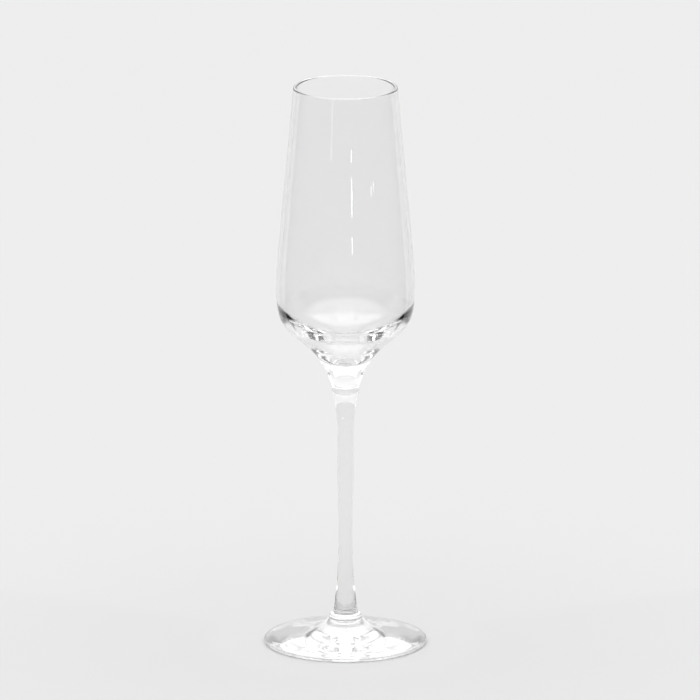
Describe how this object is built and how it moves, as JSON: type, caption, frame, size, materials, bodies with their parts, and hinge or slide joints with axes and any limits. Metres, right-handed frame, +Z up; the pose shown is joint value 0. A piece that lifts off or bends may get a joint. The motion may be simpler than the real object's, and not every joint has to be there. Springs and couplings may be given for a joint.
{
  "type": "champagne flute",
  "caption": "Tall stemmed drinking glass in clear glass: a narrow bowl that tapers up to the rim, on a solid pointed base, a slender stem and a round foot.",
  "frame": {"origin": "centre of the plane that the foot's resting ring stands on", "axes": "+Z up the glass's axis from the foot to the rim; X and Y are any two directions across it, because the glass is round"},
  "size_m": [0.072, 0.072, 0.2528],
  "materials": {
    "clear_glass": "clear, colourless, fire-polished"
  },
  "bodies": {
    "root": {"bowl": "clear_glass", "stem": "clear_glass", "foot": "clear_glass"}
  },
  "joints": []
}
